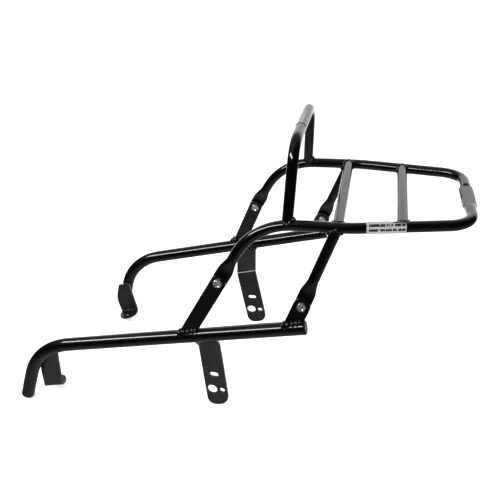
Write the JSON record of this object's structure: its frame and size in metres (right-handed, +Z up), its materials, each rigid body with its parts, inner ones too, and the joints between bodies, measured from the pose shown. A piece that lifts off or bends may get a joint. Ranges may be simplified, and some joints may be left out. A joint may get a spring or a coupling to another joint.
{
  "type": "motorcycle rear luggage rack",
  "caption": "Rear luggage carrier of bent black tube: a flat rack loop with crossbars and an upright hoop, bolted to two tubular side arms with drilled plates and feet.",
  "frame": {"origin": "midway between the adjusting slots of the two side plates, where the carrier is bolted to the vehicle", "axes": "+X towards the rear of the vehicle, +Y towards its right-hand side, +Z up; the rack's rails are level"},
  "size_m": [0.7359, 0.3355, 0.4691],
  "materials": {
    "tube_coat": "glossy black powder coat",
    "plate_coat": "satin black powder coat",
    "zinc": "bright zinc plating",
    "plug": "matt black moulded plastic",
    "load_label": "silver film label without lettering",
    "blank_label": "white film label without lettering"
  },
  "bodies": {
    "root": {"arm_tube_left": "tube_coat", "arm_tube_right": "tube_coat", "front_bracket_left": "plate_coat", "front_bracket_right": "plate_coat", "front_crossbar": "tube_coat", "front_left_bolt": "zinc", "front_left_nut": "zinc", "front_left_washer": "zinc", "front_plug_left": "plug", "front_plug_right": "plug", "front_right_bolt": "zinc", "front_right_nut": "zinc", "front_right_washer": "zinc", "front_tab_left": "plate_coat", "front_tab_right": "plate_coat", "front_tab_weld_left": "tube_coat", "front_tab_weld_right": "tube_coat", "hoop": "tube_coat", "hoop_label": "blank_label", "hoop_weld_left": "tube_coat", "hoop_weld_right": "tube_coat", "load_label": "load_label", "rack_loop": "tube_coat", "rear_crossbar": "tube_coat", "rear_left_bolt": "zinc", "rear_left_nut": "zinc", "rear_left_washer": "zinc", "rear_plug_left": "plug", "rear_plug_right": "plug", "rear_right_bolt": "zinc", "rear_right_nut": "zinc", "rear_right_washer": "zinc", "rear_tab_left": "plate_coat", "rear_tab_right": "plate_coat", "rear_tab_weld_left": "tube_coat", "rear_tab_weld_right": "tube_coat", "side_plate_left": "plate_coat", "side_plate_right": "plate_coat", "side_plate_weld_left": "tube_coat", "side_plate_weld_right": "tube_coat", "strut_left": "tube_coat", "strut_right": "tube_coat"}
  },
  "joints": []
}
